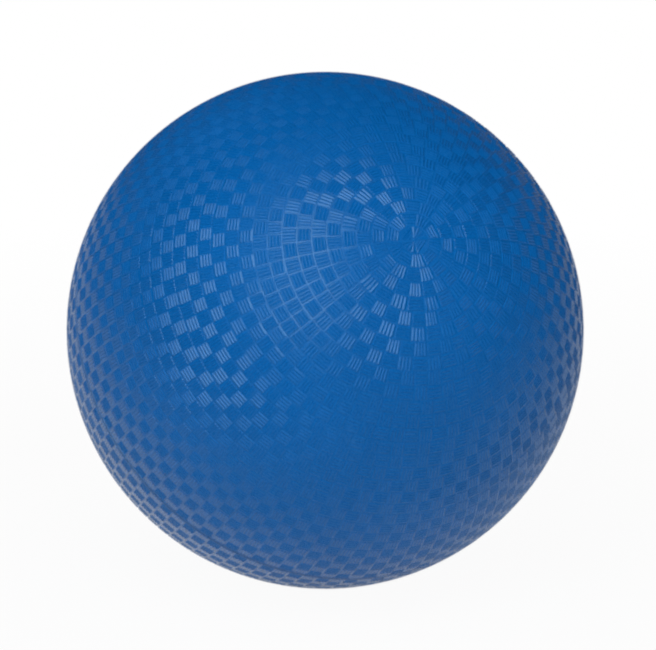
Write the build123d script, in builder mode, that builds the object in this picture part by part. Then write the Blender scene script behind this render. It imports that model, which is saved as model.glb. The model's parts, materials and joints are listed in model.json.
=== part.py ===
from build123d import *
import os
from math import asin, ceil, cos, degrees, radians, sin, sqrt

# Moulded rubber dodgeball, in millimetres. The origin is the centre of the ball and +Z is up.
# The mould axis lies in the YZ plane. The plain pole looks to the front (-Y) and up,
# and the valve, at the other pole, looks to the back (+Y) and down.

# Ball
ball_diameter = 216.0
axis_rise = 30.0  # degrees from the horizon up to the plain pole
cover_wall = 1.4
winding_wall = 0.4
bladder_wall = 0.7
bond_film = 0.05  # cement between two layers

# Rings of the moulded weave, with a groove between each two
ring_count = 29  # from a pole to the parting line
groove_width = 0.9
groove_depth = 0.3
parting_groove_width = 0.7
parting_groove_depth = 0.3

# Valve core
needle_passage_diameter = 1.7
needle_funnel = 0.6
core_wall = 2.6
head_lip = 1.05
head_height = 1.3
shank_overhang = 1.0
tip_length = 3.5
tip_draw = 1.2
passage_end_wall = 3.8
slit_width = 0.3
slit_depth = 1.0
slit_margin = 0.6

# Valve seat, patch and port
core_clearance = 0.05
head_clearance = 0.1
neck_rim = 0.9
boss_wall = 3.0
boss_depth = 10.5
flange_width = 7.5
flange_wall = 0.9
patch_margin = 5.0
patch_wall = 0.6
port_recess = 0.4
port_chamfer = 0.3
pad_width = 6.0  # plain cover round the port, at least

# Radii of the layers
ball_radius = ball_diameter / 2
cover_inner_radius = ball_radius - cover_wall
winding_radius = cover_inner_radius - bond_film
winding_inner_radius = winding_radius - winding_wall
bladder_radius = winding_inner_radius - bond_film
bladder_inner_radius = bladder_radius - bladder_wall
patch_outer_radius = bladder_inner_radius - bond_film
patch_inner_radius = patch_outer_radius - patch_wall
flange_outer_radius = patch_inner_radius - bond_film
flange_inner_radius = flange_outer_radius - flange_wall

# Radii about the valve axis
passage_radius = needle_passage_diameter / 2
shank_radius = passage_radius + core_wall
head_radius = shank_radius + head_lip
tip_radius = shank_radius - tip_draw
bore_radius = shank_radius + core_clearance
counterbore_radius = head_radius + head_clearance
neck_radius = counterbore_radius + neck_rim
boss_radius = bore_radius + boss_wall
flange_radius = neck_radius + flange_width
patch_radius = flange_radius + patch_margin
port_radius = neck_radius + port_chamfer

# Heights along the valve axis, from the ball's centre
valve_face = ball_radius - port_recess
counterbore_floor = valve_face - head_height
boss_end = flange_inner_radius - boss_depth
tip_start = boss_end - shank_overhang
tip_end = tip_start - tip_length
passage_end = tip_end + passage_end_wall

# Angles from the valve axis, in degrees
parting_angle = 90.0
front_pole_angle = 180.0
ring_pitch = parting_angle / ring_count
groove_half_angle = degrees(groove_width / 2 / ball_radius)
parting_half_angle = degrees(parting_groove_width / 2 / ball_radius)
pad_angle = degrees(asin((neck_radius + pad_width) / ball_radius))
first_ring = ceil(pad_angle / ring_pitch)

# Every round piece is a profile turned about the valve axis.
# In the profile plane, x is the distance from that axis and y is the height along it.
valve_direction = Vector(0, cos(radians(axis_rise)), -sin(radians(axis_rise)))
across = Vector(1, 0, 0)
profile = Plane(origin=(0, 0, 0), x_dir=across, z_dir=across.cross(valve_direction))
valve_axis = Axis((0, 0, 0), valve_direction)


def at(radius, angle):
    """Profile point at a radius from the centre, at an angle from the valve axis."""
    return (radius * sin(radians(angle)), radius * cos(radians(angle)))


def on_sphere(radius, distance):
    """Profile point on a sphere of that radius, at a distance from the valve axis."""
    return (distance, sqrt(radius**2 - distance**2))


def angle_at(radius, distance):
    """Angle from the valve axis at which a sphere is at that distance from the axis."""
    return degrees(asin(distance / radius))


def arc(radius, start, end):
    """Arc about the centre from one angle to another, both counted from the valve axis."""
    return CenterArc((0, 0), radius, parting_angle - start, start - end)


def grooved_arc(start, end, rings):
    """Outer line of the cover with a V groove at the edge of each ring in the list."""
    reached = start
    for ring in rings:
        middle = ring * ring_pitch
        arc(ball_radius, reached, middle - groove_half_angle)
        reached = middle + groove_half_angle
        Polyline(
            at(ball_radius, middle - groove_half_angle),
            at(ball_radius - groove_depth, middle),
            at(ball_radius, reached),
        )
    arc(ball_radius, reached, end)


os.makedirs("parts", exist_ok=True)

# Cover half at the plain pole, from the parting line to the pole
with BuildPart() as cover_front_half:
    with BuildSketch(profile):
        with BuildLine():
            land_start = parting_angle + parting_half_angle
            grooved_arc(land_start, front_pole_angle, range(ring_count + 1, 2 * ring_count))
            Line(at(ball_radius, front_pole_angle), at(cover_inner_radius, front_pole_angle))
            arc(cover_inner_radius, front_pole_angle, parting_angle)
            Polyline(
                at(cover_inner_radius, parting_angle),
                at(ball_radius - parting_groove_depth, parting_angle),
                at(ball_radius, land_start),
            )
        make_face()
    revolve(axis=valve_axis)
cover_front_half.part.label = "cover_front_half"
export_step(cover_front_half.part, "parts/cover_front_half.step")

# Cover half at the valve, from the plain pad round the port to the parting line
with BuildPart() as cover_valve_half:
    with BuildSketch(profile):
        with BuildLine():
            land_end = parting_angle - parting_half_angle
            port_angle = angle_at(ball_radius, port_radius)
            grooved_arc(port_angle, land_end, range(first_ring, ring_count))
            Polyline(
                at(ball_radius, land_end),
                at(ball_radius - parting_groove_depth, parting_angle),
                at(cover_inner_radius, parting_angle),
            )
            arc(cover_inner_radius, parting_angle, angle_at(cover_inner_radius, neck_radius))
            chamfer_foot = on_sphere(ball_radius, port_radius)[1] - port_chamfer
            Polyline(
                on_sphere(cover_inner_radius, neck_radius),
                (neck_radius, chamfer_foot),
                on_sphere(ball_radius, port_radius),
            )
        make_face()
    revolve(axis=valve_axis)
cover_valve_half.part.label = "cover_valve_half"
export_step(cover_valve_half.part, "parts/cover_valve_half.step")


def layer_profile(outer_radius, inner_radius, end_angle):
    """Closed profile of a layer between two spheres, from round the neck to the end angle."""
    arc(outer_radius, angle_at(outer_radius, neck_radius), end_angle)
    Line(at(outer_radius, end_angle), at(inner_radius, end_angle))
    arc(inner_radius, end_angle, angle_at(inner_radius, neck_radius))
    Line(on_sphere(inner_radius, neck_radius), on_sphere(outer_radius, neck_radius))


# Thread wound over the bladder, as one even layer
with BuildPart() as thread_winding:
    with BuildSketch(profile):
        with BuildLine():
            layer_profile(winding_radius, winding_inner_radius, front_pole_angle)
        make_face()
    revolve(axis=valve_axis)
thread_winding.part.label = "thread_winding"
export_step(thread_winding.part, "parts/thread_winding.step")

# Bladder
with BuildPart() as bladder:
    with BuildSketch(profile):
        with BuildLine():
            layer_profile(bladder_radius, bladder_inner_radius, front_pole_angle)
        make_face()
    revolve(axis=valve_axis)
bladder.part.label = "bladder"
export_step(bladder.part, "parts/bladder.step")

# Patch bonded inside the bladder round the valve
with BuildPart() as valve_patch:
    with BuildSketch(profile):
        with BuildLine():
            patch_angle = angle_at(patch_outer_radius, patch_radius)
            layer_profile(patch_outer_radius, patch_inner_radius, patch_angle)
        make_face()
    revolve(axis=valve_axis)
valve_patch.part.label = "valve_patch"
export_step(valve_patch.part, "parts/valve_patch.step")

# Seat: a flange on the patch, a neck out to the port and a boss inwards, bored for the core
with BuildPart() as valve_seat:
    with BuildSketch(profile):
        with BuildLine():
            flange_angle = angle_at(flange_outer_radius, flange_radius)
            Polyline(
                on_sphere(flange_inner_radius, boss_radius),
                (boss_radius, boss_end),
                (bore_radius, boss_end),
                (bore_radius, counterbore_floor),
                (counterbore_radius, counterbore_floor),
                (counterbore_radius, valve_face),
                (neck_radius, valve_face),
                on_sphere(flange_outer_radius, neck_radius),
            )
            arc(flange_outer_radius, angle_at(flange_outer_radius, neck_radius), flange_angle)
            Line(at(flange_outer_radius, flange_angle), at(flange_inner_radius, flange_angle))
            arc(flange_inner_radius, flange_angle, angle_at(flange_inner_radius, boss_radius))
        make_face()
    revolve(axis=valve_axis)
valve_seat.part.label = "valve_seat"
export_step(valve_seat.part, "parts/valve_seat.step")

# Core: a head in the counterbore, a shank in the bore and a slit tip, with a blind needle passage
with BuildPart() as valve_core:
    with BuildSketch(profile):
        with BuildLine():
            Polyline(
                (passage_radius + needle_funnel, valve_face),
                (head_radius, valve_face),
                (head_radius, counterbore_floor),
                (shank_radius, counterbore_floor),
                (shank_radius, tip_start),
                (tip_radius, tip_end),
                (0, tip_end),
                (0, passage_end - passage_radius),
                (passage_radius, passage_end),
                (passage_radius, valve_face - needle_funnel),
                close=True,
            )
        make_face()
    revolve(axis=valve_axis)
    tip_face = Plane(
        origin=valve_direction * tip_end, x_dir=across, z_dir=valve_direction
    )
    with BuildSketch(tip_face):
        Rectangle(2 * (tip_radius - slit_margin), slit_width)
    extrude(amount=slit_depth, mode=Mode.SUBTRACT)
valve_core.part.label = "valve_core"
export_step(valve_core.part, "parts/valve_core.step")
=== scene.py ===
import json
from math import asin, cos, radians, sin, sqrt, tan

import bpy
import numpy as np
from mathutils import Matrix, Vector


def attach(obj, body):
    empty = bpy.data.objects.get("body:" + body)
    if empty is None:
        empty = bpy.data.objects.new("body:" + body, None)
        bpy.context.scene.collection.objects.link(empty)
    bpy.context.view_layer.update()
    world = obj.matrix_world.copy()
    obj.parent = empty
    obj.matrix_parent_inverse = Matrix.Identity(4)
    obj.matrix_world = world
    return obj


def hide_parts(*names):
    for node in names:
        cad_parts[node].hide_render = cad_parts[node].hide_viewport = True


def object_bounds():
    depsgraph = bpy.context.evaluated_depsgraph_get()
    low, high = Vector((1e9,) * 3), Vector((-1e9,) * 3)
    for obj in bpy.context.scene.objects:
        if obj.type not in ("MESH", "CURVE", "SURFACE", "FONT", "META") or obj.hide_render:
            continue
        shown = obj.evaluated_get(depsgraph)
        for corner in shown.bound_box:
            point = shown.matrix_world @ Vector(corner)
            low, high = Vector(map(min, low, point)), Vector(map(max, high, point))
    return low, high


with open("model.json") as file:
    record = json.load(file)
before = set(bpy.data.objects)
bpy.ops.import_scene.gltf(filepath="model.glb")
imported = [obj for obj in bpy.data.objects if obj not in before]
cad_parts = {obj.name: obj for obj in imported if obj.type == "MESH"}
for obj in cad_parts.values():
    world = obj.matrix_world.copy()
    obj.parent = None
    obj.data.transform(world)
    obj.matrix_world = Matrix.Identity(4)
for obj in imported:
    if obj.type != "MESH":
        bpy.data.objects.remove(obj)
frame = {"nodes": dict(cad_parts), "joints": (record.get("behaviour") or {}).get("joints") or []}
CAD_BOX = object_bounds()

# Sizes in metres. The ball's radius and the valve's direction come from the frame.
MM = 0.001
BALL_RADIUS = (CAD_BOX[1].x - CAD_BOX[0].x) / 2
VALVE = Vector(frame["joints"][0]["axis"]).normalized()
COVER_WALL = 1.4 * MM

# The moulded weave: rings of square cells about each pole, each cell with four ribs
RINGS = 29
EQUATOR_CELLS = 112
# Belts from the pole to the parting line: how many rings, and how many cells in each of them
BELTS = (
    (1, 4),
    (1, 10),
    (1, 16),
    (2, 24),
    (2, 36),
    (2, 48),
    (2, 60),
    (3, 74),
    (1, 86),
    (2, 90),
    (2, 96),
    (1, 106),
    (9, EQUATOR_CELLS),
)
RIBS = 4
RIB_HEIGHT = 0.31 * MM
BORDER = 0.046  # flat border on each side of a cell, as a share of the cell
SHOULDER_PLACE = 0.37  # of a rib's width
SHOULDER_HEIGHT = 0.91  # of a rib's height
SHOULDER_SETBACK = 0.05  # of a rib's length, at its sloping ends
CREST_SETBACK = 0.075
CREASE_ANGLE = radians(28)

# The parting line and the plain pad round the valve port
PARTING_LAND = 1.2 * MM
PARTING_GROOVE = 0.55 * MM
PARTING_DEPTH = 0.5 * MM
LAND_DROP = 0.06 * MM
LAND_BEVEL = 0.15 * MM
PAD_RINGS = 2
PORT_RADIUS = 5.5 * MM
PORT_CHAMFER = 0.3 * MM
ROUND_STEPS = 224
LINING_STEPS = 112
LINING_BANDS = 26
GROOVE_WALL_FOOT = 0.8  # of the groove's width, from the parting line
GROOVE_WALL_DEPTH = 0.5  # of the groove's depth
LEAST_ROOM = 0.05  # lowest share of a rib's height where a cell narrows near the pole

# How much of a crest each place counts as: ribs run from 0 to 1, and the groove is below them
LAND_CREST = 0.8
PAD_CREST = 0.6
FLOOR_CREST = 0.0
GROOVE_CREST = -1.0

# Moulded rubber: noise scales per metre, and the noise levels between which an effect sets in
COVER_GRAIN = 1800.0
GRAIN_DETAIL = 2.0
GRAIN_LEVELS = (0.3, 0.7)
GRAIN_DEPTH = 0.05 * MM
DRIFT_SCALE = 14.0
DRIFT_DETAIL = 3.0
DRIFT_LEVELS = (0.35, 0.65)
PATCH_NOISE = {"scale": 38.0, "detail": 4.0, "roughness": 0.62}
PATCH_LEVELS = (0.52, 0.7)
FINE_NOISE = {"scale": 420.0, "detail": 3.0, "roughness": 0.6}
FINE_LEVELS = (0.5, 0.68)
WORN_CRESTS = (0.3, 1.0)
WORN_SHARES = (0.05, 0.3)
WORN_ROUGHNESS = 0.3
# Painted shade: the parting groove is darkened towards this near-black tone, by up to this share at
# its deepest.
GROOVE_SHADE_SHARE = 0.5
GROOVE_SHADE_TONE = (0.003, 0.012, 0.03, 1)
NO_TINT = (1.0, 1.0, 1.0, 1)

# Wound thread
THREAD_SCALE = 160.0
THREAD_WANDER = 1.5
THREAD_DEPTH = 0.2 * MM
THREAD_TONES = ((0.45, 0.42, 0.35, 1), (0.74, 0.71, 0.62, 1))
THREAD_ROUGHNESS = (0.85, 0.6)

# Camera, from the photograph: the ball's outline there and how it was seen
FRAME_WIDTH, FRAME_HEIGHT = 656, 650
OUTLINE_CENTRE = (325.2, 330.3)
OUTLINE_RADIUS = 258.6
VIEW_AZIMUTH = radians(-21.9)
VIEW_ELEVATION = radians(11.5)
VIEW_DISTANCE = 14 * BALL_RADIUS
SENSOR_WIDTH = 36.0
CLIP_END = 50.0
PIXEL_FILTER = 2.3

# Room. In the ball's gloss the floor glows as a painted reflection, dim near the camera and towards
# the right.
FLOOR_HALF = 8.0
FLOOR_TONE = (0.72, 0.72, 0.72, 1)
FLOOR_ROUGHNESS = 0.9
FLOOR_WHITE_REACH = (0.3, 0.9)  # metres from the ball's centre
FLOOR_WHITE_SHARES = (0.95, 1.0)  # to the camera; the rest shows the ball's shadow
PAINTED_REFLECTION_DEPTH = (-0.2, -0.03)  # metres past the ball's centre, along the view
PAINTED_REFLECTION_STRENGTH = (0.05, 0.95)
PAINTED_REFLECTION_ASIDE = (0.2, 0.8)  # metres to the right of the ball's centre
PAINTED_REFLECTION_FADE = (1.0, 0.4)
ROOM_TONE = (0.008, 0.008, 0.009, 1)
WHITE = (1.0, 1.0, 1.0, 1)


def mould_frame(pole):
    """Rows across, along and up: a right-handed frame whose third row is the pole's direction."""
    up = np.array(pole)
    across = np.array((1.0, 0.0, 0.0))
    return np.stack((across, np.cross(up, across), up))


def place(pole, theta, phi, radius):
    """Point at angle theta from the pole, turned by phi about it, at a radius from the centre."""
    across, along, up = mould_frame(pole)
    ring = (radius * np.sin(theta))[:, None]
    return (
        ring * np.cos(phi)[:, None] * across
        + ring * np.sin(phi)[:, None] * along
        + (radius * np.cos(theta))[:, None] * up
    )


class Skin:
    """Points and triangles of one surface, gathered ring by ring in the mould's polar coordinates."""

    def __init__(self):
        self.columns = []
        self.triangles = []
        self.count = 0

    def points(self, theta, phi, radius, crest=0.0):
        """Adds points given as arrays of one shape, and returns their numbers in that shape."""
        shape = np.broadcast_shapes(*(np.shape(a) for a in (theta, phi, radius, crest)))
        column = [np.broadcast_to(a, shape).ravel() for a in (theta, phi, radius, crest)]
        self.columns.append(np.stack(column))
        numbers = np.arange(self.count, self.count + column[0].size).reshape(shape)
        self.count += column[0].size
        return numbers

    def faces(self, first, second, third):
        """Adds triangles whose corners run anticlockwise seen from outside."""
        corners = np.stack(np.broadcast_arrays(first, second, third), axis=-1)
        self.triangles.append(corners.reshape(-1, 3))

    def quads(self, a, b, c, d):
        """Adds quads as two triangles each."""
        self.faces(a, b, c)
        self.faces(a, c, d)

    def circle(self, theta, radius, steps, crest=0.0):
        """A ring of points at one angle from the pole."""
        phi = np.arange(steps) * (2 * np.pi / steps)
        return self.points(theta, phi, radius, crest), phi

    def join(self, upper, lower):
        """Fills the strip between two rings of points that need not have the same number.

        Both rings' points are sorted by their turn. Each point in that order closes one triangle
        with the last point before it on its own ring and the last one on the other ring.
        """
        (above, above_phi), (below, below_phi) = upper, lower
        turn = np.concatenate((above_phi, below_phi)) % (2 * np.pi)
        above = above[np.argsort(above_phi % (2 * np.pi))]
        below = below[np.argsort(below_phi % (2 * np.pi))]
        is_above = np.arange(turn.size) < above.size
        is_above = is_above[np.argsort(turn, kind="stable")]
        last_above = np.cumsum(is_above) - 1
        last_below = np.cumsum(~is_above) - 1
        k, other = last_above[is_above], last_below[is_above]
        self.faces(above[k - 1], below[other], above[k])
        k, other = last_below[~is_above], last_above[~is_above]
        self.faces(above[other], below[k - 1], below[k])

    def cap(self, numbers, radius):
        """Closes the hole inside a ring of points with a fan of triangles to a point on the pole."""
        tip = self.points(0.0, 0.0, radius)
        self.faces(tip, numbers, np.roll(numbers, -1))

    def mesh(self, name, pole):
        """The gathered surface as a Blender object, with the crest value kept on its points."""
        theta, phi, radius, crest = np.concatenate(self.columns, axis=1)
        points = place(pole, theta, phi, radius)
        return mesh_object(name, points, np.concatenate(self.triangles), crest)


def mesh_object(name, points, triangles, crest):
    """A smooth-shaded triangle mesh, creased where its faces turn by more than the crease angle."""
    mesh = bpy.data.meshes.new(name)
    mesh.vertices.add(len(points))
    mesh.vertices.foreach_set("co", points.astype(np.float32).ravel())
    mesh.loops.add(triangles.size)
    mesh.loops.foreach_set("vertex_index", triangles.astype(np.int32).ravel())
    mesh.polygons.add(len(triangles))
    mesh.polygons.foreach_set("loop_start", np.arange(0, triangles.size, 3, dtype=np.int32))
    mesh.update(calc_edges=True)
    mesh.validate()
    kept = mesh.attributes.new("crest", "FLOAT", "POINT")
    kept.data.foreach_set("value", crest.astype(np.float32))
    mesh.polygons.foreach_set("use_smooth", np.ones(len(mesh.polygons), bool))
    mesh.set_sharp_from_angle(angle=CREASE_ANGLE)
    made = bpy.data.objects.new(name, mesh)
    bpy.context.scene.collection.objects.link(made)
    return made


def rib_cell():
    """One cell of hip-ended ribs, on a unit square.

    Returns the points' places across the ribs, along them and their height, then the triangles and
    the numbers of the valley points. A rib's section has a valley, a shoulder, the crest, a shoulder
    and the next valley; its ends slope down to the valleys' ends.
    """
    valley = np.arange(2 * (RIBS + 1)).reshape(RIBS + 1, 2)
    line = valley.size + np.arange(RIBS * 3 * 2).reshape(RIBS, 3, 2)
    valley_across = np.repeat(np.arange(RIBS + 1) / RIBS, 2)
    valley_along = np.tile((0.0, 1.0), RIBS + 1)
    shares = np.array((SHOULDER_PLACE, 0.5, 1 - SHOULDER_PLACE))
    setbacks = np.array((SHOULDER_SETBACK, CREST_SETBACK, SHOULDER_SETBACK))
    heights = np.array((SHOULDER_HEIGHT, 1.0, SHOULDER_HEIGHT))
    rib_across = (np.arange(RIBS)[:, None] + shares) / RIBS
    line_across = np.broadcast_to(rib_across[:, :, None], line.shape)
    line_along = np.broadcast_to(np.stack((setbacks, 1 - setbacks), axis=1), line.shape)
    line_height = np.broadcast_to(heights[:, None], line.shape)
    across = np.concatenate((valley_across, line_across.ravel()))
    along = np.concatenate((valley_along, line_along.ravel()))
    height = np.concatenate((np.zeros(valley.size), line_height.ravel()))
    section = np.concatenate((valley[:-1, None], line, valley[1:, None]), axis=1)
    a, b = section[:, :-1], section[:, 1:]
    left, crest, right = line[:, 0], line[:, 1], line[:, 2]
    near, far = valley[:-1], valley[1:]
    triangles = np.concatenate(
        [
            np.stack(corners, axis=-1).reshape(-1, 3)
            for corners in (
                (a[..., 0], a[..., 1], b[..., 1]),
                (a[..., 0], b[..., 1], b[..., 0]),
                (near[:, 0], left[:, 0], crest[:, 0]),
                (near[:, 0], crest[:, 0], far[:, 0]),
                (far[:, 0], crest[:, 0], right[:, 0]),
                (near[:, 1], crest[:, 1], left[:, 1]),
                (near[:, 1], far[:, 1], crest[:, 1]),
                (far[:, 1], right[:, 1], crest[:, 1]),
            )
        ]
    )
    return across, along, height, triangles, valley


def weave_ring(skin, start, end, cells, first_along):
    """One ring of the weave between two angles from the pole.

    Cells whose ribs run along the meridian alternate with cells whose ribs run round the ring.
    A cell maps the unit square to its share of the ring, inside a flat border; the radius is the
    floor of the weave plus the rib's height, lowered where a cell narrows near the pole.
    Returns the ring's upper and lower edge points with their turns.
    """
    across, along, height, triangles, valley = rib_cell()
    inner = 1 - 2 * BORDER
    pitch = 2 * np.pi / cells
    floor = BALL_RADIUS - RIB_HEIGHT
    full_width = 2 * np.pi * BALL_RADIUS / EQUATOR_CELLS

    def lay(numbers, u, v, corners):
        theta = start + (end - start) * (BORDER + inner * v)
        phi = (numbers[:, None] + BORDER + inner * u) * pitch
        room = np.clip(BALL_RADIUS * np.sin(theta) * pitch / full_width, LEAST_ROOM, 1)
        laid = skin.points(theta, phi, floor + RIB_HEIGHT * height * room, height * room)
        skin.faces(*np.moveaxis(laid[:, corners], -1, 0))
        return laid, phi

    meridian_cells = np.arange(0 if first_along else 1, cells, 2)
    ring_cells = np.arange(1 if first_along else 0, cells, 2)
    meridian, meridian_phi = lay(meridian_cells, across, along, triangles)
    around, around_phi = lay(ring_cells, along, across, triangles[:, ::-1])

    def edge(meridian_part, around_part):
        parts = [(meridian[:, meridian_part], meridian_phi[:, meridian_part])]
        parts.append((around[:, around_part], around_phi[:, around_part]))
        if not first_along:
            parts.reverse()
        return tuple(np.concatenate([p[i] for p in parts], axis=1).ravel() for i in (0, 1))

    upper = edge(valley[:, 0], valley[0])
    lower = edge(valley[:, 1], valley[-1])

    pair = meridian[:, valley[-1]]
    row = np.roll(around[:, valley[:, 0]], 0 if first_along else -1, axis=0)
    side_fan(skin, pair, row, True)
    pair = np.roll(meridian[:, valley[0]], -1 if first_along else 0, axis=0)
    row = around[:, valley[:, 1]]
    side_fan(skin, pair, row, False)
    return upper, lower


def side_fan(skin, pair, row, pair_first):
    """Fills the flat strip between a two-point edge and a many-point edge of neighbouring cells."""
    middle = row.shape[1] // 2
    strips = [(pair[:, 0], row[:, k + 1], row[:, k]) for k in range(middle)]
    strips.append((pair[:, 0], pair[:, 1], row[:, middle]))
    strips += [(pair[:, 1], row[:, k + 1], row[:, k]) for k in range(middle, row.shape[1] - 1)]
    for a, b, c in strips:
        if pair_first:
            skin.faces(a, b, c)
        else:
            skin.faces(a, c, b)


def lathe(skin, profile, steps):
    """Turns a profile about the pole, and returns its first and last rings.

    Each point of the profile is an angle from the pole, a radius and a crest value.
    """
    rings = [skin.circle(theta, radius, steps, crest) for theta, radius, crest in profile]
    for (above, _), (below, _) in zip(rings, rings[1:]):
        skin.quads(above, below, np.roll(below, -1), np.roll(above, -1))
    return rings[0], rings[-1]


def cover_half(name, pole, port):
    """A cover half as one closed shell: the weave outside, a parting land at its rim, a plain lining.

    With a port, the rings at the pole give way to a plain pad with a round hole for the valve's neck.
    """
    skin = Skin()
    land_angle = PARTING_LAND / BALL_RADIUS
    edges = np.linspace(0, np.pi / 2, RINGS + 1)
    edges[-1] -= land_angle
    first_ring = PAD_RINGS if port else 0
    previous = None
    ring = 0
    for rings, cells in BELTS:
        for _ in range(rings):
            if ring >= first_ring:
                upper, lower = weave_ring(skin, edges[ring], edges[ring + 1], cells, ring % 2 == 0)
                if previous is None:
                    top = upper
                else:
                    skin.join(previous, upper)
                previous = lower
            ring += 1

    floor = BALL_RADIUS - RIB_HEIGHT
    lining = BALL_RADIUS - COVER_WALL
    rim = np.pi / 2
    bevel_angle = LAND_BEVEL / BALL_RADIUS
    groove_angle = PARTING_GROOVE / BALL_RADIUS
    land_radius = BALL_RADIUS - LAND_DROP
    wall_radius = BALL_RADIUS - GROOVE_WALL_DEPTH * PARTING_DEPTH
    land = [
        (rim - land_angle, floor, FLOOR_CREST),
        (rim - land_angle + bevel_angle, land_radius, LAND_CREST),
        (rim - groove_angle, land_radius, FLOOR_CREST),
        (rim - GROOVE_WALL_FOOT * groove_angle, wall_radius, GROOVE_CREST),
        (rim, BALL_RADIUS - PARTING_DEPTH, GROOVE_CREST),
        (rim, lining, GROOVE_CREST),
    ]
    land_top, land_foot = lathe(skin, land, ROUND_STEPS)
    skin.join(previous, land_top)

    if port:
        port_angle = asin((PORT_RADIUS + PORT_CHAMFER) / BALL_RADIUS)
        hole_angle = asin(PORT_RADIUS / lining)
        chamfer_foot = sqrt(BALL_RADIUS**2 - (PORT_RADIUS + PORT_CHAMFER) ** 2) - PORT_CHAMFER
        foot_radius = sqrt(chamfer_foot**2 + PORT_RADIUS**2)
        pad_end = edges[first_ring]
        pad = [
            (hole_angle, lining, FLOOR_CREST),
            (asin(PORT_RADIUS / foot_radius), foot_radius, FLOOR_CREST),
            (port_angle, BALL_RADIUS, PAD_CREST),
            ((port_angle + pad_end) / 2, BALL_RADIUS, PAD_CREST),
            (pad_end - 2 * bevel_angle, BALL_RADIUS, PAD_CREST),
            (pad_end, floor, FLOOR_CREST),
        ]
        hole_top, pad_edge = lathe(skin, pad, LINING_STEPS)
        skin.join(pad_edge, top)
    else:
        skin.cap(top[0], floor)
        hole_angle = 0.0

    band_angles = np.linspace(rim, hole_angle, LINING_BANDS)[1:-1]
    bands = [skin.circle(theta, lining, LINING_STEPS) for theta in band_angles]
    inner = [land_foot] + bands + ([hole_top] if port else [])
    for above, below in zip(inner, inner[1:]):
        fill_inside(skin, above, below)
    if not port:
        skin.cap(bands[-1][0][::-1], lining)
    return skin.mesh(name, pole)


def fill_inside(skin, outer, inner):
    """Fills a strip of the lining, whose faces look towards the ball's centre."""
    begun = len(skin.triangles)
    skin.join(inner, outer)
    for i in range(begun, len(skin.triangles)):
        skin.triangles[i] = skin.triangles[i][:, ::-1]


def new_group(name, inputs, outputs):
    """An empty shader node group with named sockets; returns it with its input and output nodes."""
    group = bpy.data.node_groups.new(name, "ShaderNodeTree")
    for label, kind, value in inputs:
        socket = group.interface.new_socket(label, in_out="INPUT", socket_type=kind)
        socket.default_value = value
    for label, kind in outputs:
        group.interface.new_socket(label, in_out="OUTPUT", socket_type=kind)
    return group, group.nodes.new("NodeGroupInput"), group.nodes.new("NodeGroupOutput")


def noise(tree, scale, detail, roughness):
    """A noise texture on Object coordinates."""
    where = tree.nodes.new("ShaderNodeTexCoord")
    texture = tree.nodes.new("ShaderNodeTexNoise")
    texture.inputs["Scale"].default_value = scale
    texture.inputs["Detail"].default_value = detail
    texture.inputs["Roughness"].default_value = roughness
    tree.links.new(where.outputs["Object"], texture.inputs["Vector"])
    return texture.outputs["Fac"]


def combine(tree, operation, a, b):
    """A math node on two sockets or numbers."""
    node = tree.nodes.new("ShaderNodeMath")
    node.operation = operation
    for socket, value in zip(node.inputs, (a, b)):
        if isinstance(value, (int, float)):
            socket.default_value = value
        else:
            tree.links.new(value, socket)
    return node.outputs["Value"]


def ramp(tree, value, levels, results=(0.0, 1.0)):
    """Maps a value between two levels to two results, held at the ends."""
    node = tree.nodes.new("ShaderNodeMapRange")
    for label, number in zip(("From Min", "From Max", "To Min", "To Max"), (*levels, *results)):
        node.inputs[label].default_value = number
    tree.links.new(value, node.inputs["Value"])
    return node.outputs["Result"]


def blend(tree, factor, first, second):
    """Mixes two colours, each a socket or a tuple, by a factor."""
    node = tree.nodes.new("ShaderNodeMix")
    node.data_type = "RGBA"
    tree.links.new(factor, node.inputs["Factor"])
    for socket, value in ((node.inputs["A"], first), (node.inputs["B"], second)):
        if isinstance(value, tuple):
            socket.default_value = value
        else:
            tree.links.new(value, socket)
    return node.outputs["Result"]


def moulded_rubber_group():
    """Moulded rubber: a fine grain height, a tone that drifts slowly, and a scuff mask."""
    group, given, put = new_group(
        "moulded_rubber",
        [
            ("Grain Scale", "NodeSocketFloat", COVER_GRAIN),
            ("Drift Scale", "NodeSocketFloat", DRIFT_SCALE),
        ],
        [("Grain", "NodeSocketFloat"), ("Drift", "NodeSocketFloat"), ("Scuff", "NodeSocketFloat")],
    )
    where = group.nodes.new("ShaderNodeTexCoord")
    grain = group.nodes.new("ShaderNodeTexNoise")
    grain.inputs["Detail"].default_value = GRAIN_DETAIL
    drift = group.nodes.new("ShaderNodeTexNoise")
    drift.inputs["Detail"].default_value = DRIFT_DETAIL
    for texture, label in ((grain, "Grain Scale"), (drift, "Drift Scale")):
        group.links.new(where.outputs["Object"], texture.inputs["Vector"])
        group.links.new(given.outputs[label], texture.inputs["Scale"])
    patches = ramp(group, noise(group, **PATCH_NOISE), PATCH_LEVELS)
    fine = ramp(group, noise(group, **FINE_NOISE), FINE_LEVELS)
    scuff = combine(group, "MULTIPLY", patches, fine)
    group.links.new(grain.outputs["Fac"], put.inputs["Grain"])
    group.links.new(drift.outputs["Fac"], put.inputs["Drift"])
    group.links.new(scuff, put.inputs["Scuff"])
    return group


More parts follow.
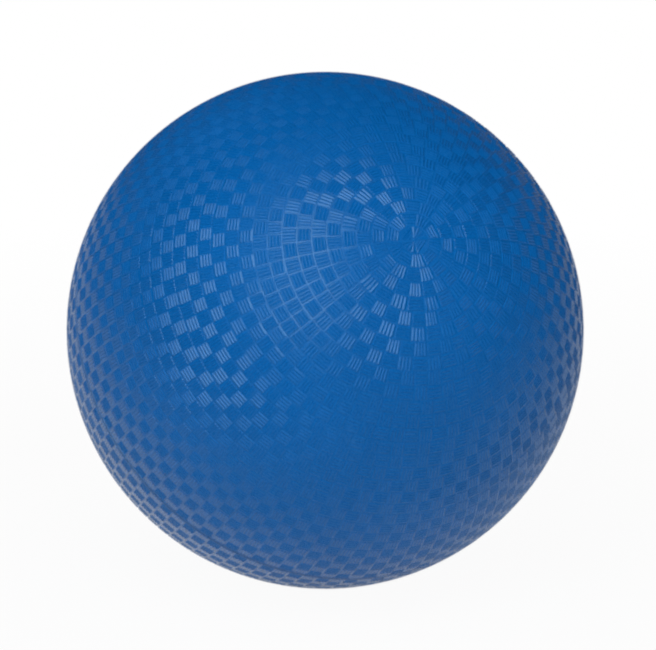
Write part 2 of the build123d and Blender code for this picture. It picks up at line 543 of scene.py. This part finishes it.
def rubber(name, group, tones, roughness, grain_scale, scuff_colour, bump, tint=NO_TINT):
    """A moulded rubber finish: two near tones, scuffed crests, painted shade in the parting groove
    and a fine grain.
    """
    material = bpy.data.materials.new(name)
    material.use_nodes = True
    tree = material.node_tree
    shader = tree.nodes["Principled BSDF"]
    shader.inputs["Specular Tint"].default_value = tint
    surface = tree.nodes.new("ShaderNodeGroup")
    surface.node_tree = group
    surface.inputs["Grain Scale"].default_value = grain_scale
    crest = tree.nodes.new("ShaderNodeAttribute")
    crest.attribute_name = "crest"
    height_share = crest.outputs["Fac"]
    tone = blend(tree, ramp(tree, surface.outputs["Drift"], DRIFT_LEVELS), *tones)
    crest_wear = ramp(tree, height_share, WORN_CRESTS, WORN_SHARES)
    worn = combine(tree, "MULTIPLY", surface.outputs["Scuff"], crest_wear)
    # Painted shade: the base colour darkens down into the parting groove, below the weave's floor.
    groove_shade = ramp(tree, height_share, (GROOVE_CREST, FLOOR_CREST), (GROOVE_SHADE_SHARE, 0.0))
    worn_and_shaded_tone = blend(tree, groove_shade, blend(tree, worn, tone, scuff_colour), GROOVE_SHADE_TONE)
    tree.links.new(worn_and_shaded_tone, shader.inputs["Base Color"])
    rough = ramp(tree, surface.outputs["Grain"], GRAIN_LEVELS, roughness)
    roughened = combine(tree, "ADD", rough, combine(tree, "MULTIPLY", worn, WORN_ROUGHNESS))
    tree.links.new(roughened, shader.inputs["Roughness"])
    height = tree.nodes.new("ShaderNodeBump")
    height.inputs["Strength"].default_value = bump
    height.inputs["Distance"].default_value = GRAIN_DEPTH
    tree.links.new(surface.outputs["Grain"], height.inputs["Height"])
    tree.links.new(height.outputs["Normal"], shader.inputs["Normal"])
    return material


def thread_material():
    """Wound nylon thread: three families of fine turns, seen as bands of tone and height."""
    material = bpy.data.materials.new("wound_thread")
    material.use_nodes = True
    tree = material.node_tree
    shader = tree.nodes["Principled BSDF"]
    where = tree.nodes.new("ShaderNodeTexCoord")
    turns = None
    for axis in ("X", "Y", "Z"):
        wave = tree.nodes.new("ShaderNodeTexWave")
        wave.bands_direction = axis
        wave.inputs["Scale"].default_value = THREAD_SCALE
        wave.inputs["Distortion"].default_value = THREAD_WANDER
        tree.links.new(where.outputs["Object"], wave.inputs["Vector"])
        family = wave.outputs["Fac"]
        turns = family if turns is None else combine(tree, "MAXIMUM", turns, family)
    tree.links.new(blend(tree, turns, *THREAD_TONES), shader.inputs["Base Color"])
    tree.links.new(ramp(tree, turns, (0.0, 1.0), THREAD_ROUGHNESS), shader.inputs["Roughness"])
    height = tree.nodes.new("ShaderNodeBump")
    height.inputs["Distance"].default_value = THREAD_DEPTH
    tree.links.new(turns, height.inputs["Height"])
    tree.links.new(height.outputs["Normal"], shader.inputs["Normal"])
    return material


def paint(piece, material):
    """Gives a piece one material."""
    piece.data.materials.clear()
    piece.data.materials.append(material)


def direction(azimuth, elevation):
    """Unit vector towards a place round the ball.

    Azimuth 0 is the front (-Y), and the elevation counts up from the horizon.
    """
    return Vector((sin(azimuth) * cos(elevation), -cos(azimuth) * cos(elevation), sin(elevation)))


def add_camera():
    """A long lens whose frame holds the ball's outline where the photograph has it."""
    lens = bpy.data.cameras.new("camera")
    half_width = FRAME_WIDTH / 2 * tan(asin(BALL_RADIUS / VIEW_DISTANCE)) / OUTLINE_RADIUS
    lens.sensor_width = SENSOR_WIDTH
    lens.lens = lens.sensor_width / 2 / half_width
    lens.shift_x = (FRAME_WIDTH / 2 - OUTLINE_CENTRE[0]) / FRAME_WIDTH
    lens.shift_y = (OUTLINE_CENTRE[1] - FRAME_HEIGHT / 2) / FRAME_WIDTH
    lens.clip_end = CLIP_END
    camera = bpy.data.objects.new("camera", lens)
    towards = direction(VIEW_AZIMUTH, VIEW_ELEVATION)
    camera.location = towards * VIEW_DISTANCE
    camera.rotation_euler = towards.to_track_quat("Z", "Y").to_euler()
    bpy.context.scene.collection.objects.link(camera)
    bpy.context.scene.camera = camera


def add_softbox(name, azimuth, elevation, distance, width, height, radiance, mirrored=True):
    """A rectangular lamp that faces the ball, its angles in degrees and its sizes in metres.

    Its power gives the panel the wanted radiance. A lamp that isn't mirrored doesn't show in gloss.
    """
    lamp = bpy.data.lights.new(name, "AREA")
    lamp.shape = "RECTANGLE"
    lamp.size, lamp.size_y = width, height
    lamp.energy = radiance * np.pi * width * height
    box = bpy.data.objects.new(name, lamp)
    towards = direction(radians(azimuth), radians(elevation))
    box.location = towards * distance
    box.rotation_euler = towards.to_track_quat("Z", "Y").to_euler()
    box.visible_glossy = mirrored
    box.visible_camera = False
    bpy.context.scene.collection.objects.link(box)


def distance_along(tree, where, towards):
    """How far a place on an object lies from its origin, along a direction."""
    product = tree.nodes.new("ShaderNodeVectorMath")
    product.operation = "DOT_PRODUCT"
    product.inputs[1].default_value = towards
    tree.links.new(where.outputs["Object"], product.inputs[0])
    return product.outputs["Value"]


def add_floor():
    """A wide pale floor under the ball, white to the camera apart from the ball's shadow, and glowing
    in the ball's gloss as a painted reflection.
    """
    sides = ((-1, -1), (1, -1), (1, 1), (-1, 1))
    corners = [(x * FLOOR_HALF, y * FLOOR_HALF, -BALL_RADIUS) for x, y in sides]
    mesh = bpy.data.meshes.new("floor")
    mesh.from_pydata(corners, [], [(0, 1, 2, 3)])
    floor = bpy.data.objects.new("floor", mesh)
    bpy.context.scene.collection.objects.link(floor)
    material = bpy.data.materials.new("floor")
    material.use_nodes = True
    tree = material.node_tree
    shader = tree.nodes["Principled BSDF"]
    shader.inputs["Base Color"].default_value = FLOOR_TONE
    shader.inputs["Roughness"].default_value = FLOOR_ROUGHNESS
    shader.inputs["Specular IOR Level"].default_value = 0.0
    white_and_reflection_glow = tree.nodes.new("ShaderNodeEmission")
    mix = tree.nodes.new("ShaderNodeMixShader")
    path = tree.nodes.new("ShaderNodeLightPath")
    where = tree.nodes.new("ShaderNodeTexCoord")
    reach = tree.nodes.new("ShaderNodeVectorMath")
    reach.operation = "LENGTH"
    tree.links.new(where.outputs["Object"], reach.inputs[0])
    camera_ray = path.outputs["Is Camera Ray"]
    white = ramp(tree, reach.outputs["Value"], FLOOR_WHITE_REACH, FLOOR_WHITE_SHARES)
    seen = combine(tree, "MULTIPLY", camera_ray, white)
    # Painted reflection: to glossy rays the floor is an emitter, bright behind the ball and fading
    # near the camera and to the right, whatever the lamps do.
    depth = distance_along(tree, where, direction(VIEW_AZIMUTH + np.pi, 0.0))
    aside = distance_along(tree, where, direction(VIEW_AZIMUTH + np.pi / 2, 0.0))
    reflection_by_depth = ramp(tree, depth, PAINTED_REFLECTION_DEPTH, PAINTED_REFLECTION_STRENGTH)
    reflection_by_side = ramp(tree, aside, PAINTED_REFLECTION_ASIDE, PAINTED_REFLECTION_FADE)
    # mirrored is the strength of the floor's painted reflection in the ball's gloss.
    mirrored = combine(tree, "MULTIPLY", reflection_by_depth, reflection_by_side)
    tree.links.new(combine(tree, "MAXIMUM", camera_ray, mirrored), white_and_reflection_glow.inputs["Strength"])
    tree.links.new(combine(tree, "MAXIMUM", seen, path.outputs["Is Glossy Ray"]), mix.inputs["Fac"])
    tree.links.new(shader.outputs["BSDF"], mix.inputs[1])
    tree.links.new(white_and_reflection_glow.outputs["Emission"], mix.inputs[2])
    tree.links.new(mix.outputs["Shader"], tree.nodes["Material Output"].inputs["Surface"])
    paint(floor, material)


def add_world():
    """A dark room that the camera sees as white."""
    world = bpy.data.worlds.new("world")
    bpy.context.scene.world = world
    world.use_nodes = True
    tree = world.node_tree
    background = tree.nodes["Background"]
    path = tree.nodes.new("ShaderNodeLightPath")
    tone = blend(tree, path.outputs["Is Camera Ray"], ROOM_TONE, WHITE)
    tree.links.new(tone, background.inputs["Color"])


rubber_group = moulded_rubber_group()
cover_finish = rubber(
    "cover_rubber",
    rubber_group,
    tones=((0.0, 0.105, 0.367, 1), (0.001, 0.116, 0.4, 1)),
    roughness=(0.25, 0.32),
    grain_scale=COVER_GRAIN,
    scuff_colour=(0.06, 0.2, 0.46, 1),
    bump=0.25,
    tint=(0.65, 0.95, 1.0, 1),
)
black_finish = rubber(
    "valve_rubber",
    rubber_group,
    tones=((0.012, 0.012, 0.013, 1), (0.02, 0.02, 0.022, 1)),
    roughness=(0.45, 0.55),
    grain_scale=2600.0,
    scuff_colour=(0.08, 0.08, 0.08, 1),
    bump=0.3,
)
butyl_finish = rubber(
    "bladder_rubber",
    rubber_group,
    tones=((0.02, 0.02, 0.022, 1), (0.035, 0.035, 0.036, 1)),
    roughness=(0.5, 0.62),
    grain_scale=1200.0,
    scuff_colour=(0.12, 0.12, 0.12, 1),
    bump=0.3,
)
patch_finish = rubber(
    "patch_rubber",
    rubber_group,
    tones=((0.05, 0.046, 0.04, 1), (0.07, 0.064, 0.056, 1)),
    roughness=(0.6, 0.75),
    grain_scale=1500.0,
    scuff_colour=(0.16, 0.15, 0.14, 1),
    bump=0.4,
)
thread_finish = thread_material()

front = cover_half("cover_front_skin", -VALVE, port=False)
back = cover_half("cover_valve_skin", VALVE, port=True)
for piece, node in ((front, "cover_front_half"), (back, "cover_valve_half")):
    paint(piece, cover_finish)
    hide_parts(node)
    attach(piece, "ball")

for node, finish in (
    ("thread_winding", thread_finish),
    ("bladder", butyl_finish),
    ("valve_patch", patch_finish),
    ("valve_seat", black_finish),
    ("valve_core", black_finish),
):
    paint(frame["nodes"][node], finish)

add_camera()
add_floor()
add_world()
add_softbox(
    "key",
    azimuth=-34,
    elevation=35,
    distance=1.15,
    width=0.64,
    height=1.1,
    radiance=3.4,
)
add_softbox(
    "overhead_fill",
    azimuth=-26,
    elevation=66,
    distance=2.4,
    width=2.6,
    height=2.2,
    radiance=1.25,
    mirrored=False,
)
add_softbox(
    "front_fill",
    azimuth=-12,
    elevation=14,
    distance=5.5,
    width=7.5,
    height=3.2,
    radiance=1.3,
    mirrored=False,
)
add_softbox(
    "right_fill",
    azimuth=110,
    elevation=25,
    distance=3.5,
    width=3.6,
    height=2.6,
    radiance=0.25,
    mirrored=False,
)
add_softbox(
    "left_fill",
    azimuth=-150,
    elevation=25,
    distance=3.5,
    width=3.6,
    height=2.6,
    radiance=0.6,
    mirrored=False,
)
add_softbox(
    "back_fill",
    azimuth=157,
    elevation=8,
    distance=3.0,
    width=3.3,
    height=1.0,
    radiance=3.8,
    mirrored=False,
)
add_softbox(
    "back_glow",
    azimuth=157,
    elevation=14,
    distance=3.0,
    width=6.0,
    height=1.4,
    radiance=0.09,
)
bpy.context.scene.view_settings.view_transform = "Standard"
bpy.context.scene.cycles.filter_width = PIXEL_FILTER
